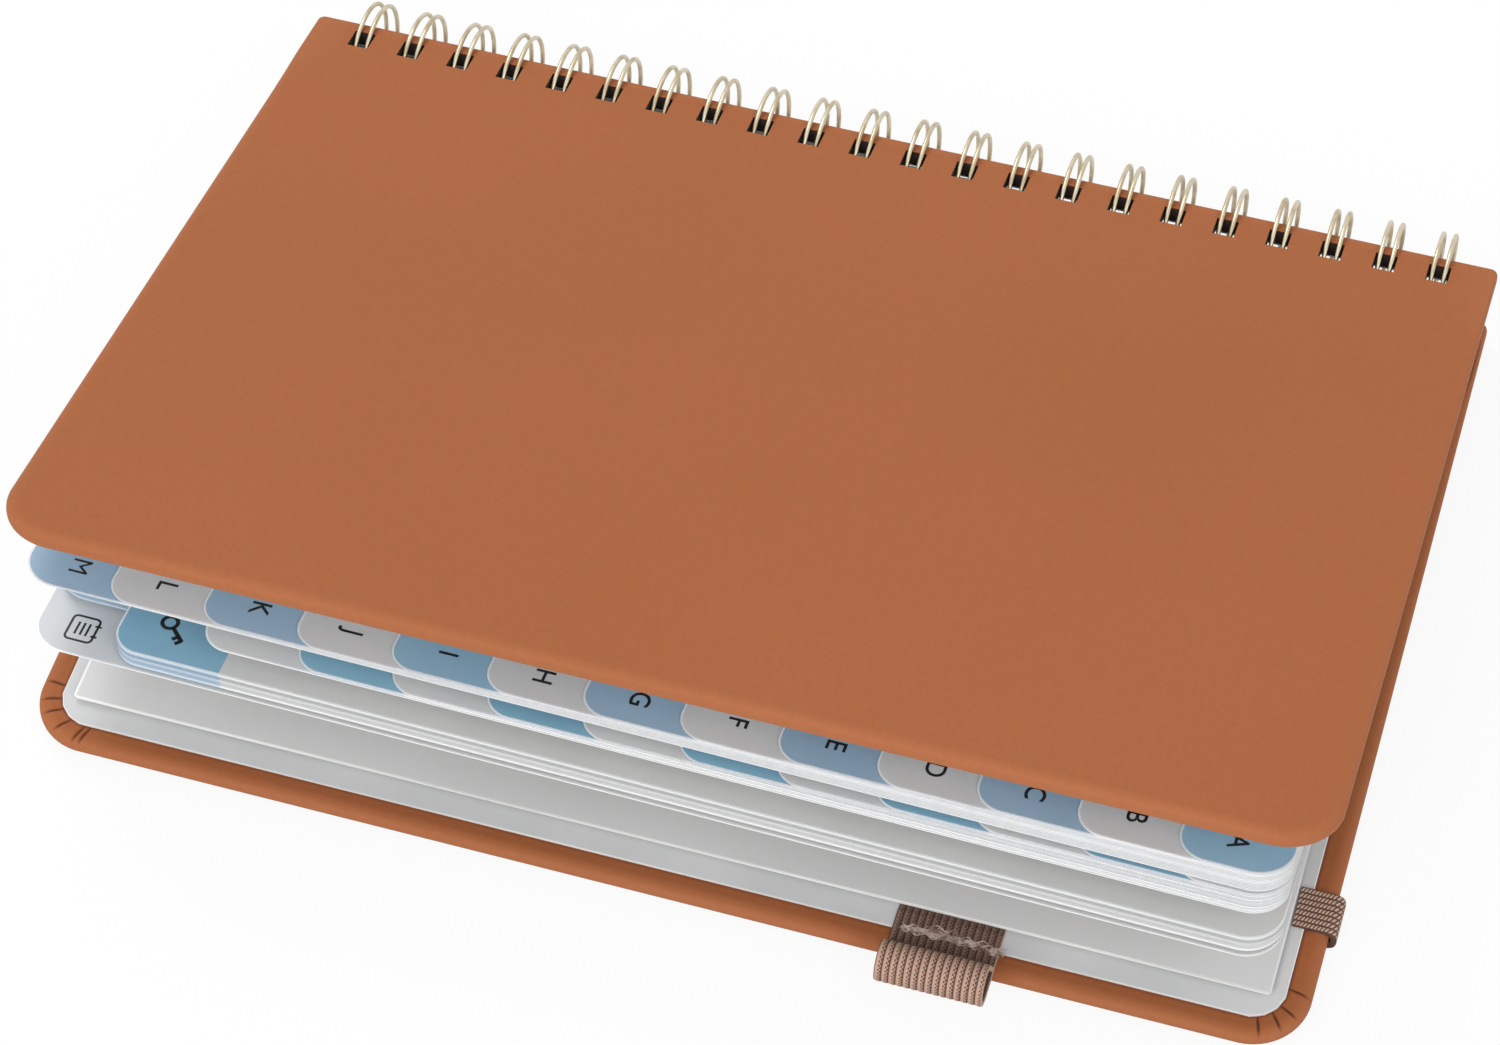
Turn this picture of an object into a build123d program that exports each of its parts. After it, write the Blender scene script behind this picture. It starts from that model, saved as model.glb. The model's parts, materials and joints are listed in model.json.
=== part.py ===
import os
from math import acos, cos, degrees, hypot, pi, radians, sin, sqrt, tan

from build123d import *

os.makedirs("parts", exist_ok=True)

# Address book with a twin-loop wire spine, lying on its back cover with the front cover ajar.
# Millimetres. X runs along the spine, the fore-edge faces -Y, the wire spine is at +Y, Z is up.
# The lowest points are the wire loops, at Z = 0.

# Wire binding
loop_count = 22
loop_pitch = 8.4667
end_margin = 8.9
wire_radius = 0.37
wire_spacing = 1.95
ring_radius = 8.5
root_bend = 1.0
root_angle = -76.0
tip_angle = 255.0

# Covers
cover_width = 134.0
fore_corner = 9.0
spine_corner = 1.3
leather_skin = 0.45
board_thickness = 1.95
lining_thickness = 0.4
edge_round = 1.15
lining_border = 3.7
lining_spine_border = 1.4
lining_corner_border = 3.6
lining_facets = 3
hole_length_x = 3.6
hole_margin = 2.4
hole_clearance = 0.2
cover_tilt = 15.0

# Leaves: 13 tab places, the first one wider, two rounds of tabs, the last two being thicker sections
tab_places = 13
first_tab = 16.1
tab_pitch = 14.4
leaf_inset_end = 3.8
leaf_inset_fore = 3.5
leaf_spine_gap = 2.0
leaf_hole_y = 4.1
leaf_corner = 5.7
tab_depth = 9.5
tab_corner = 4.3
step_corner = 1.2
leaf_skew = 0.7
letter_thickness = 0.21
pack_thickness = 0.55
notes_thickness = 0.35
sheet_gap = 0.03
top_slack = 0.22

# Rest angles of the leaves, degrees above closed, first and last of each run
first_round_tilt = (12.35, 12.05)
second_round_tilt = (11.8, 11.25)
pack_tilt = (8.9, 8.3)
notes_tilt = 7.9

# Pocket on the inside of the back cover
pocket_half_length = 92.0
pocket_fore = 7.3
pocket_depth = 111.0
pocket_thickness = 0.35
pocket_corner = 0.6
pocket_tilt = 0.3
pocket_fold_gap = 0.1
glue_strip_width = 5.0
gusset_width = 6.0
gusset_thickness = 0.12
gusset_setback = 3.0

# Elastic closure band round the back cover
band_width = 6.6
band_centre = 22.9
band_thickness = 1.2
band_proud = 0.5
band_tuck = 5.5
band_under_pocket = 0.1

# Pen loop of ribbed webbing at the fore-edge
pen_width = 16.0
pen_centre = 44.9
pen_webbing = 0.9
pen_proud = 0.45
pen_tail = 12.0
pen_loop_half_y = 3.0
pen_loop_half_z = 3.5
pen_loop_gap = 0.6
recess_clearance = 0.05

# Derived sizes
cover_length = (loop_count - 1) * loop_pitch + 2 * end_margin
cover_thickness = leather_skin + board_thickness + lining_thickness
pack_count = 3
first_letters = [chr(ord("a") + k) for k in range(tab_places)]
second_letters = [chr(ord("n") + k) for k in range(10)] + ["xyz"]
letter_count = len(first_letters) + len(second_letters)
pocket_stack = sheet_gap + gusset_thickness + pocket_thickness
leaf_stack = (
    notes_thickness
    + sheet_gap
    + pack_count * (pack_thickness + sheet_gap)
    + letter_count * (letter_thickness + sheet_gap)
)
inner_space = pocket_stack + sheet_gap + leaf_stack + top_slack
closed_thickness = 2 * cover_thickness + inner_space
half_closed = closed_thickness / 2
axis_z = ring_radius + wire_radius
cover_base = axis_z - half_closed
lining_top = cover_base + cover_thickness


def ring_reach(radius, offset):
    """Distance along a sheet from the axis to a circle about the axis."""
    return sqrt(radius**2 - offset**2)


# Covers: the hole clears the wire all the way through the cover
hole_near = ring_reach(ring_radius - wire_radius, half_closed) - hole_clearance
hole_far = ring_reach(ring_radius + wire_radius, half_closed - cover_thickness) + hole_clearance
cover_edge = hole_near - hole_margin

# The Y origin is midway between the pen loop's front and the back of the loops
loop_front = -2 * pen_loop_half_y - pen_loop_gap
spine_back = cover_width + cover_edge + ring_radius + wire_radius
fore_y = -(loop_front + spine_back) / 2
axis_y = fore_y + cover_width + cover_edge
turn_axis = Axis((0, axis_y, axis_z), (-1, 0, 0))
hole_xs = [(k - (loop_count - 1) / 2) * loop_pitch for k in range(loop_count)]

# The leaves bear on the first loop and have slid outwards along the rest, within their holes
skew_axis = Axis((hole_xs[0], axis_y, 0), (0, 0, 1))


def rounded_wire(corners):
    """Closed outline through (x, y, radius) corners, each rounded by a tangent arc."""
    points = []
    for k, (x, y, radius) in enumerate(corners):
        before = corners[k - 1]
        after = corners[(k + 1) % len(corners)]
        ux, uy = before[0] - x, before[1] - y
        vx, vy = after[0] - x, after[1] - y
        lu, lv = hypot(ux, uy), hypot(vx, vy)
        ux, uy, vx, vy = ux / lu, uy / lu, vx / lv, vy / lv
        half = acos(max(-1.0, min(1.0, ux * vx + uy * vy))) / 2
        run = radius / tan(half)
        bx, by = ux + vx, uy + vy
        lb = hypot(bx, by)
        reach = radius / sin(half) - radius
        points.append(
            (
                (x + ux * run, y + uy * run),
                (x + bx / lb * reach, y + by / lb * reach),
                (x + vx * run, y + vy * run),
            )
        )
    edges = []
    for k, (start, middle, end) in enumerate(points):
        edges.append(ThreePointArc(start, middle, end))
        edges.append(Line(end, points[(k + 1) % len(points)][0]))
    return Wire(edges)


def box(x0, x1, y0, y1, z0, z1):
    """Block between two corners."""
    centre = ((x0 + x1) / 2, (y0 + y1) / 2, (z0 + z1) / 2)
    return Pos(*centre) * Box(x1 - x0, y1 - y0, z1 - z0)


def slot_wire(x, y0, y1):
    """Outline of one rectangular binding hole."""
    half = hole_length_x / 2
    return Wire(Polyline((x - half, y0), (x + half, y0), (x + half, y1), (x - half, y1), close=True).edges())


def cover_outline(inset):
    """Cover outline drawn in by an even inset, round at all four corners."""
    half = cover_length / 2 - inset
    near, far = fore_y + inset, fore_y + cover_width - inset
    fore, spine = fore_corner - inset, max(spine_corner - inset, 0.4)
    return rounded_wire([(-half, near, fore), (half, near, fore), (half, far, spine), (-half, far, spine)])


def lining_outline():
    """Lining sheet: straight sides, its fore-edge corners cut in short facets along the cover's round."""
    half = cover_length / 2 - lining_border
    far = fore_y + cover_width - lining_spine_border
    centre_x, centre_y = cover_length / 2 - fore_corner, fore_y + fore_corner
    reach = fore_corner - lining_corner_border
    first = degrees(acos(min(1.0, (fore_corner - lining_border) / reach)))
    turns = [radians(t) for t in spread((first, 90 - first), lining_facets + 1)]
    corner = [(centre_x + reach * cos(t), centre_y - reach * sin(t)) for t in turns]
    points = [(half, far)] + corner + [(-x, y) for x, y in reversed(corner)] + [(-half, far)]
    return Wire(Polyline(*points, close=True).edges())


def slab(outline, low, high):
    """Plate with the given outline and the binding holes through it."""
    holes = [slot_wire(x, axis_y - hole_far, axis_y - hole_near) for x in hole_xs]
    return Pos(0, 0, low) * extrude(Face(outline, holes), high - low, dir=(0, 0, 1))


def cover_pieces():
    """Leather, board and lining of one cover with its outer face down at Z = 0."""
    body = extrude(Face(cover_outline(0)), cover_thickness, dir=(0, 0, 1))
    rims = body.edges().filter_by(lambda e: abs(e.bounding_box().size.Z) < 0.001)
    body = fillet(rims, edge_round)
    board_top = leather_skin + board_thickness
    board = slab(cover_outline(leather_skin), leather_skin, board_top)
    lining = slab(lining_outline(), board_top, cover_thickness)
    body -= extrude(Pos(0, 0, leather_skin) * Face(cover_outline(leather_skin)), board_thickness, dir=(0, 0, 1))
    body -= extrude(Pos(0, 0, board_top) * Face(lining_outline()), lining_thickness, dir=(0, 0, 1))
    half = hole_length_x / 2
    for x in hole_xs:
        body -= box(x - half, x + half, axis_y - hole_far, axis_y - hole_near, -1, cover_thickness + 1)
    return {"leather": body, "board": board, "lining": lining}


def leaf(place, low, thickness, tilt):
    """One tabbed section: full width up to its tab, cut back beyond it, lying a little askew on the wire."""
    half = cover_length / 2 - leaf_inset_end
    near = fore_y + leaf_inset_fore
    far = axis_y - leaf_spine_gap
    step = half - first_tab - (place - 1) * tab_pitch
    corners = [(half, far, spine_corner), (-half, far, spine_corner)]
    if place < tab_places:
        corners += [(-half, near + tab_depth, leaf_corner), (step, near + tab_depth, step_corner)]
        corners += [(step, near, tab_corner)]
    else:
        corners += [(-half, near, leaf_corner)]
    corners += [(half, near, leaf_corner)]
    offset = low - axis_z
    nearest = 0.0 if offset < 0 < offset + thickness else min(abs(offset), abs(offset + thickness))
    reach = ring_reach(ring_radius + wire_radius, nearest) + hole_clearance
    holes = [slot_wire(x, axis_y - reach, axis_y - reach + leaf_hole_y) for x in hole_xs]
    sheet = Pos(0, 0, low) * extrude(Face(rounded_wire(corners), holes), thickness, dir=(0, 0, 1))
    return sheet.rotate(skew_axis, -leaf_skew).rotate(turn_axis, tilt)


def spread(limits, count):
    """Evenly spaced values from the first limit to the last."""
    return [limits[0] + (limits[1] - limits[0]) * k / max(count - 1, 1) for k in range(count)]


def leaves():
    """All sections from the pocket upwards, the lowest first."""
    sections = {}
    level = lining_top + pocket_stack + sheet_gap
    sections["leaf_notes"] = leaf(tab_places, level, notes_thickness, notes_tilt)
    level += notes_thickness + sheet_gap
    pack_names = ["pages_lower", "pages_upper", "leaf_key"]
    for name, tilt in zip(pack_names, reversed(spread(pack_tilt, pack_count))):
        sections[name] = leaf(tab_places - 1, level, pack_thickness, tilt)
        level += pack_thickness + sheet_gap
    rounds = [(second_letters, second_round_tilt), (first_letters, first_round_tilt)]
    for names, limits in rounds:
        order = list(zip(range(1, len(names) + 1), names, spread(limits, len(names))))
        for place, name, tilt in reversed(order):
            sections["leaf_" + name] = leaf(place, level, letter_thickness, tilt)
            level += letter_thickness + sheet_gap
    return sections


def ring_point(x, angle):
    """Point on the ring, 0 degrees on the fore-edge side, 90 degrees on top."""
    turn = radians(angle)
    return Vector(x, axis_y - ring_radius * cos(turn), axis_z + ring_radius * sin(turn))


def ring_tangent(angle):
    """Direction of travel along the ring for a growing angle."""
    return Vector(0, sin(radians(angle)), cos(radians(angle)))


def ring_arcs(x, start, end):
    """Arcs of at most half a turn along the ring."""
    count = int(abs(end - start) // 180) + 1
    angles = [start + (end - start) * k / count for k in range(count + 1)]
    return [
        ThreePointArc(ring_point(x, a), ring_point(x, (a + b) / 2), ring_point(x, b))
        for a, b in zip(angles, angles[1:])
    ]


def binding_wire():
    """One unbroken wire: pairs of loops joined at their tips, bridged at their roots."""
    along = Vector(1, 0, 0)
    half = wire_spacing / 2
    tip_way = ring_tangent(tip_angle)
    root_way = ring_tangent(root_angle)
    turn = sin(pi / 4)
    edges = []
    for k, x in enumerate(hole_xs):
        edges += ring_arcs(x - half, root_angle, tip_angle)
        tip = ring_point(x, tip_angle)
        edges.append(ThreePointArc(tip - along * half, tip + tip_way * half, tip + along * half))
        edges += ring_arcs(x + half, tip_angle, root_angle)
        if k + 1 < loop_count:
            leave = ring_point(x + half, root_angle)
            enter = ring_point(hole_xs[k + 1] - half, root_angle)
            low_a = leave + along * root_bend - root_way * root_bend
            low_b = enter - along * root_bend - root_way * root_bend
            mid_a = leave + along * root_bend * (1 - turn) - root_way * root_bend * turn
            mid_b = enter - along * root_bend * (1 - turn) - root_way * root_bend * turn
            edges.append(ThreePointArc(leave, mid_a, low_a))
            edges.append(Line(low_a, low_b))
            edges.append(ThreePointArc(low_b, mid_b, enter))
    path = Wire(edges)
    section = Plane(origin=path @ 0, z_dir=path % 0) * Circle(wire_radius)
    tube = sweep(section, path=path)
    return tube, path


def least_gap(path):
    """Least clear distance between parts of the wire that are not neighbours along it."""
    count = int(path.length / 1.5)
    step = path.length / count
    points = [path @ (k / count) for k in range(count + 1)]
    skip = int(pi * wire_spacing / step) + 2
    window = int((2 * 2 * pi * ring_radius + 3 * loop_pitch) / step)
    nearest = min(
        (points[a] - points[b]).length
        for a in range(len(points))
        for b in range(a + skip, min(a + window, len(points)))
    )
    return nearest - 2 * wire_radius


def pocket_panel():
    """Card panel of the back pocket, its mouth towards the fore-edge, lifted a little."""
    near = fore_y + pocket_fore
    far = near + pocket_depth
    low = lining_top + sheet_gap + gusset_thickness
    half = pocket_half_length
    corner = pocket_corner
    outline = rounded_wire([(half, far, corner), (-half, far, corner), (-half, near, corner), (half, near, corner)])
    panel = Pos(0, 0, low) * extrude(Face(outline), pocket_thickness, dir=(0, 0, 1))
    gussets = [
        box(side - gusset_width / 2, side + gusset_width / 2, near + gusset_setback, far - gusset_setback,
            low - gusset_thickness, low)
        for side in (-half + gusset_width / 2, half - gusset_width / 2)
    ]
    fold = Axis((0, far, lining_top), (-1, 0, 0))
    strip = box(-half, half, far + pocket_fold_gap, far + pocket_fold_gap + glue_strip_width,
                lining_top, lining_top + pocket_stack)
    return [piece.rotate(fold, pocket_tilt) for piece in [panel] + gussets] + [strip]


def closure_band():
    """Elastic strap: flat under the back cover, round both ends, tucked in beside the pocket."""
    half = cover_length / 2
    outer = half + band_thickness
    under = cover_base - band_thickness
    top = lining_top + band_proud
    tuck = half - band_tuck
    sunk = top - band_thickness + recess_clearance
    y0 = fore_y + band_centre - band_width / 2
    y1 = y0 + band_width
    strap = box(-outer, outer, y0, y1, under, cover_base)
    for side in (-1, 1):
        strap += box(*sorted((side * half, side * outer)), y0, y1, under, top)
        strap += box(*sorted((side * tuck, side * outer)), y0, y1, sunk, top)
        strap -= box(*sorted((side * tuck, side * pocket_half_length)), y0, y1,
                     lining_top + band_under_pocket, top)
    bends = strap.edges().filter_by(Axis.Y).filter_by(lambda e: abs(e.center().X) > half + band_thickness / 2)
    strap = fillet(bends, band_thickness * 0.9)
    return strap, (tuck, y0, y1, sunk)


def pen_loop():
    """Webbing tail glued under the pocket, carried on into an open oval loop past the fore-edge."""
    top = lining_top + pen_proud
    low = top - pen_webbing
    centre_y = fore_y - pen_loop_gap - pen_loop_half_y
    centre_z = low + pen_loop_half_z
    x0 = pen_centre - pen_width / 2
    tail_end = fore_y + pen_tail
    tail = box(x0, x0 + pen_width, centre_y, tail_end, low, top)
    tail -= box(x0, x0 + pen_width, fore_y + pocket_fore - pen_proud, tail_end,
                lining_top + band_under_pocket, top)
    seat = Plane(origin=(x0, centre_y, centre_z), x_dir=(0, 1, 0), z_dir=(1, 0, 0))
    outer = extrude(seat * Ellipse(pen_loop_half_y, pen_loop_half_z), pen_width)
    bore_y = pen_loop_half_y - pen_webbing
    bore_z = pen_loop_half_z - pen_webbing
    bore = extrude(seat * Ellipse(bore_y, bore_z), pen_width)
    loop = (tail + outer) - bore
    return loop, (x0, x0 + pen_width, tail_end, low)


pieces = {}

band, (band_tuck_x, band_y0, band_y1, band_sunk) = closure_band()
loop, (pen_x0, pen_x1, pen_y1, pen_low) = pen_loop()
room = recess_clearance
back = {name: Pos(0, 0, cover_base) * piece for name, piece in cover_pieces().items()}
recesses = [box(pen_x0 - room, pen_x1 + room, fore_y - 1, pen_y1 + room, pen_low - room, lining_top + 1)]
for side in (-1, 1):
    ends = sorted((side * (band_tuck_x - room), side * cover_length))
    recesses.append(box(*ends, band_y0 - room, band_y1 + room, band_sunk - room, lining_top + 1))
for name, piece in back.items():
    for recess in recesses:
        piece -= recess
    pieces["back_" + name] = piece

lift = 2 * half_closed + cover_base
for name, piece in cover_pieces().items():
    closed = Pos(0, 0, lift) * piece.mirror(Plane.XY)
    pieces["front_" + name] = closed.rotate(turn_axis, cover_tilt)

pieces["elastic_band"] = band
pieces["pen_loop"] = loop
panel, gusset_left, gusset_right, strip = pocket_panel()
pieces["pocket_panel"] = panel
pieces["pocket_gusset_left"] = gusset_left
pieces["pocket_gusset_right"] = gusset_right
pieces["pocket_glue_strip"] = strip
pieces.update(leaves())
wire, wire_path = binding_wire()
pieces["binding_wire"] = wire

for name, piece in pieces.items():
    solids = piece.solids()
    export_step(solids[0] if len(solids) == 1 else Compound(solids), "parts/" + name + ".step")

print("pieces", len(pieces))
print("cover", round(cover_length, 2), "x", cover_width, "closed thickness", round(closed_thickness, 2))
print("turning axis y", round(axis_y, 4), "z", round(axis_z, 4), "fore-edge y", round(fore_y, 4))
print("pocket fold y", round(fore_y + pocket_fore + pocket_depth, 4), "z", round(lining_top, 4))
print("band underside z", round(cover_base - band_thickness, 4))
print("wire length", round(wire_path.length, 1), "ring radius", ring_radius, "tip radius", wire_spacing / 2)
print("wire volume", round(wire.volume, 2), "of", round(pi * wire_radius**2 * wire_path.length, 2))
print("least gap of the wire to itself", round(least_gap(wire_path), 3))
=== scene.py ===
import json

import bpy
import numpy as np
from mathutils import Matrix, Vector, geometry


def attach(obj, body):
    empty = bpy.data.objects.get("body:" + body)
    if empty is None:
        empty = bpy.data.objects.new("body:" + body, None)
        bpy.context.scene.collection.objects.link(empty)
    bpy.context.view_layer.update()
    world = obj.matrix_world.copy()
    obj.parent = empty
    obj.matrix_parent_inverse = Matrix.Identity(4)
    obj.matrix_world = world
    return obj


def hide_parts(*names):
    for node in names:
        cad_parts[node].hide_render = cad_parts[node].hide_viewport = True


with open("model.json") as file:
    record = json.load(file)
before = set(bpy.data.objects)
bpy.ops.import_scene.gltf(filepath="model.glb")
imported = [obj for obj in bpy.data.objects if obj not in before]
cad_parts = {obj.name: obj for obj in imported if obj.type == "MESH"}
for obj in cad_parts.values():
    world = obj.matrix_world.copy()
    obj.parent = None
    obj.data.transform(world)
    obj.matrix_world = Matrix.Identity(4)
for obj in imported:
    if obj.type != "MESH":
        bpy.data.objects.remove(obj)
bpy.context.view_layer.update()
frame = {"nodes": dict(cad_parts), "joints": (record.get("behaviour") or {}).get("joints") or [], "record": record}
nodes = frame["nodes"]
behaviour = frame["record"]["behaviour"]
mm = 0.001  # settings are in millimetres, meshes in metres
fullTurn = 2 * np.pi
chance = np.random.default_rng(11)

# Where things turn, read from the frame
joints = {j["child"]: j for j in frame["joints"]}
shares = {c["joint"]: c["ratio"] for c in behaviour["couplings"]}
bodyOf = {node: body for body, members in behaviour["bodies"].items() for node in members}
hinge = joints["front_cover"]
wireLine = np.array(hinge["pos_m"][1:]) / mm  # y and z of the line that covers and leaves turn about
foldLine = np.array(joints["pocket"]["pos_m"][1:]) / mm  # and of the pocket's fold
axisY, axisZ = wireLine
coverTilt = -hinge["range_deg"][0]


def tiltOf(node):
    # degrees that a node stands open at rest: the cover's angle times the node's share of it
    return coverTilt * shares.get(joints[bodyOf[node]]["name"], 1.0)


def turned(points, tilt, line=wireLine):
    # points turned about a line along X, so that the fore-edge lifts
    c, s = np.cos(np.radians(tilt)), np.sin(np.radians(tilt))
    y, z = points[:, 1] - line[0], points[:, 2] - line[1]
    return np.stack([points[:, 0], line[0] + y * c + z * s, line[1] - y * s + z * c], 1)


def skewed(points, angle):
    # points turned in plan about the first loop, where the leaves bear on the wire
    c, s = np.cos(np.radians(angle)), np.sin(np.radians(angle))
    x, y = points[:, 0] - holeXs[0], points[:, 1] - axisY
    return np.stack([holeXs[0] + x * c - y * s, axisY + x * s + y * c, points[:, 2]], 1)


def flatBox(node, tilt=0.0, skew=0.0, line=wireLine):
    # lowest and highest corner of a CAD node in millimetres, as it lies square in the closed book
    spots = np.empty(len(nodes[node].data.vertices) * 3)
    nodes[node].data.vertices.foreach_get("co", spots)
    flat = turned(spots.reshape(-1, 3) / mm, -tilt, line)
    if skew:
        flat = skewed(flat, skew)
    return flat.min(0), flat.max(0)


def smooth(x):
    # smooth step from 0 to 1
    t = np.clip(x, 0, 1)
    return t * t * (3 - 2 * t)


def unit(rows):
    # vectors scaled to length one
    return rows / np.linalg.norm(rows, axis=-1, keepdims=True)


# Shader building

def rgb(red, green, blue):
    # linear colour of a 0 to 255 screen colour
    c = np.array([red, green, blue]) / 255
    linear = np.where(c <= 0.04045, c / 12.92, ((c + 0.055) / 1.055) ** 2.4)
    return (*linear.tolist(), 1.0)


class Value:
    # one output socket; arithmetic on it adds Math nodes
    def __init__(self, paint, socket):
        self.paint = paint
        self.socket = socket

    def math(self, operation, other=0.0, swapped=False):
        first, second = (other, self) if swapped else (self, other)
        return self.paint.node("Math", {"operation": operation}, {0: first, 1: second})

    def __add__(self, other):
        return self.math("ADD", other)

    def __sub__(self, other):
        return self.math("SUBTRACT", other)

    def __rsub__(self, other):
        return self.math("SUBTRACT", other, True)

    def __mul__(self, other):
        return self.math("MULTIPLY", other)

    def __mod__(self, other):
        return self.math("FLOORED_MODULO", other)

    def __lt__(self, other):
        return self.math("LESS_THAN", other)

    def __gt__(self, other):
        return self.math("GREATER_THAN", other)

    def __abs__(self):
        return self.math("ABSOLUTE")

    def sine(self):
        return self.math("SINE")

    __radd__ = __add__


class Paint:
    # one node material
    def __init__(self, name):
        self.material = bpy.data.materials.new(name)
        self.material.use_nodes = True
        self.tree = self.material.node_tree
        self.tree.nodes.clear()
        self.end = self.tree.nodes.new("ShaderNodeOutputMaterial")

    def node(self, kind, settings=None, inputs=None, output=0):
        made = self.tree.nodes.new("ShaderNode" + kind)
        for key, setting in (settings or {}).items():
            setattr(made, key, setting)
        for key, value in (inputs or {}).items():
            if isinstance(value, Value):
                self.tree.links.new(value.socket, made.inputs[key])
            else:
                made.inputs[key].default_value = value
        return Value(self, made.outputs[output])

    def place(self):
        return self.node("TexCoord", output="Object")

    def flat(self):
        # the piece's own flat coordinates, in millimetres or ribs
        spot = self.node("UVMap", {"uv_map": "flat"})
        return [self.node("SeparateXYZ", {}, {0: spot}, axis) for axis in "XY"]

    def mark(self, name):
        return self.node("Attribute", {"attribute_name": name}, {}, "Fac")

    def noise(self, where, scale, detail=2.0, stretch=None):
        # scale counts features in a metre
        if stretch:
            where = self.node("Mapping", {}, {"Vector": where, "Scale": stretch})
        return self.node("TexNoise", {}, {"Vector": where, "Scale": scale, "Detail": detail})

    def cells(self, where, scale):
        return self.node("TexVoronoi", {}, {"Vector": where, "Scale": scale})

    def ramp(self, value, low, high):
        limits = {"Value": value, "From Min": low, "From Max": high}
        return self.node("MapRange", {"interpolation_type": "SMOOTHSTEP"}, limits)

    def mix(self, factor, first, second):
        # each side is a value or a screen colour; the Mix node's colour sockets are 6, 7 and output 2
        sides = [rgb(*side) if isinstance(side, tuple) else side for side in (first, second)]
        return self.node("Mix", {"data_type": "RGBA"}, {0: factor, 6: sides[0], 7: sides[1]}, 2)

    def bump(self, height, strength, distance):
        return self.node("Bump", {}, {"Height": height, "Strength": strength, "Distance": distance * mm})

    def surface(self, sockets):
        shader = self.node("BsdfPrincipled", {}, sockets)
        self.tree.links.new(shader.socket, self.end.inputs[0])
        return self.material


# Mesh building

def outward(loop):
    # unit normals of an anticlockwise outline, pointing away from its inside
    way = unit(np.roll(loop, -1, 0) - np.roll(loop, 1, 0))
    return np.stack([way[:, 1], -way[:, 0]], 1)


def roundLoop(corners, arcStep, runStep, fine=0.0):
    # closed outline: each (x, y, radius) corner becomes a tangent arc, and straight runs join the arcs,
    # stepped like the arcs for a fine length at both ends
    c = np.array(corners, float)
    spot, radius = c[:, :2], c[:, 2]
    back = unit(np.roll(spot, 1, 0) - spot)
    ahead = unit(np.roll(spot, -1, 0) - spot)
    half = np.arccos(np.clip((back * ahead).sum(1), -1, 1)) / 2
    start = spot + back * (radius / np.tan(half))[:, None]
    end = spot + ahead * (radius / np.tan(half))[:, None]
    centre = spot + unit(back + ahead) * (radius / np.sin(half))[:, None]
    loop = []
    for k in range(len(spot)):
        bend = np.pi - 2 * half[k]
        t = np.linspace(0, 1, max(3, int(radius[k] * bend / arcStep) + 2))[:, None]
        spokes = np.sin((1 - t) * bend) * (start[k] - centre[k]) + np.sin(t * bend) * (end[k] - centre[k])
        following = start[(k + 1) % len(spot)]
        length = np.linalg.norm(following - end[k])
        close = np.arange(arcStep, fine, arcStep)
        middle = np.linspace(fine, length - fine, max(1, int(np.ceil((length - 2 * fine) / runStep))) + 1)
        marks = np.concatenate([close, middle[(middle > 0) & (middle < length)], length - close[::-1]])
        run = end[k] + (following - end[k]) * (marks / length)[:, None]
        loop += [centre[k] + spokes / np.sin(bend), run]
    return np.concatenate(loop)


def boxLoop(low, high, corner, arcStep, runStep):
    # rectangle between two opposite corners, with equal rounds
    spots = [(low[0], low[1]), (high[0], low[1]), (high[0], high[1]), (low[0], high[1])]
    return roundLoop([(x, y, corner) for x, y in spots], arcStep, runStep)


def fillFlat(loops):
    # triangles, wound anticlockwise, over the region inside the first loop and outside the others
    points = np.concatenate(loops)
    sizes = [len(loop) for loop in loops]
    starts = np.concatenate([[0], np.cumsum(sizes)[:-1]])
    edges = [s + np.stack([np.arange(n), (np.arange(n) + 1) % n], 1) for s, n in zip(starts, sizes)]
    spots = [Vector(p) for p in points.tolist()]
    found = geometry.delaunay_2d_cdt(spots, np.concatenate(edges).tolist(), [], 1, 1e-6)  # 1: inside only
    triangles = np.array(found[2])
    a, b, c = (points[triangles[:, k]] for k in range(3))
    turn = (b[:, 0] - a[:, 0]) * (c[:, 1] - a[:, 1]) - (b[:, 1] - a[:, 1]) * (c[:, 0] - a[:, 0])
    triangles[turn < 0] = triangles[turn < 0][:, ::-1]
    middle = (a + b + c) / 3
    keep = np.ones(len(triangles), bool)
    for hole in loops[1:]:
        keep &= ~np.all((middle > hole.min(0)) & (middle < hole.max(0)), axis=1)
    return triangles[keep]


def ringQuads(rows, count):
    # quads between closed rows of a grid, each row holding count points
    i = np.arange(count)
    j = (i + 1) % count
    low = (np.arange(rows - 1) * count)[:, None]
    return np.stack([low + i, low + j, low + count + j, low + count + i], 2).reshape(-1, 4)


def tubeGroups(rows, count):
    # sides and both end caps of a closed tube, all in the first paint
    ends = [np.arange(count)[None, ::-1], np.arange(count)[None] + (rows - 1) * count]
    return [(ringQuads(rows, count), 0)] + [(end, 0) for end in ends]


def holeWalls(holes, first, rise):
    # walls of four-cornered holes: low corners are counted from first, high ones lie rise further on
    h = np.arange(len(holes) * 4).reshape(-1, 4) + first
    k = np.roll(h, -1, 1)
    return np.stack([k, h, h + rise, k + rise], 2).reshape(-1, 4)


def sweep(path, side, up, profile):
    # profile points (across, above) carried along a path: path + side * across + up * above
    return path[:, None] + np.atleast_2d(side)[:, None] * profile[:, :1] + up[:, None] * profile[:, 1:]


def evenPath(rough, step):
    # a flat path in even steps: distances along it, its points and its unit directions
    length = np.concatenate([[0], np.cumsum(np.linalg.norm(np.diff(rough, axis=0), axis=1))])
    along = np.linspace(0, length[-1], int(length[-1] / step))
    path = np.stack([np.interp(along, length, rough[:, k]) for k in (0, 1)], 1)
    return along, path, unit(np.gradient(path, axis=0))


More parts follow.
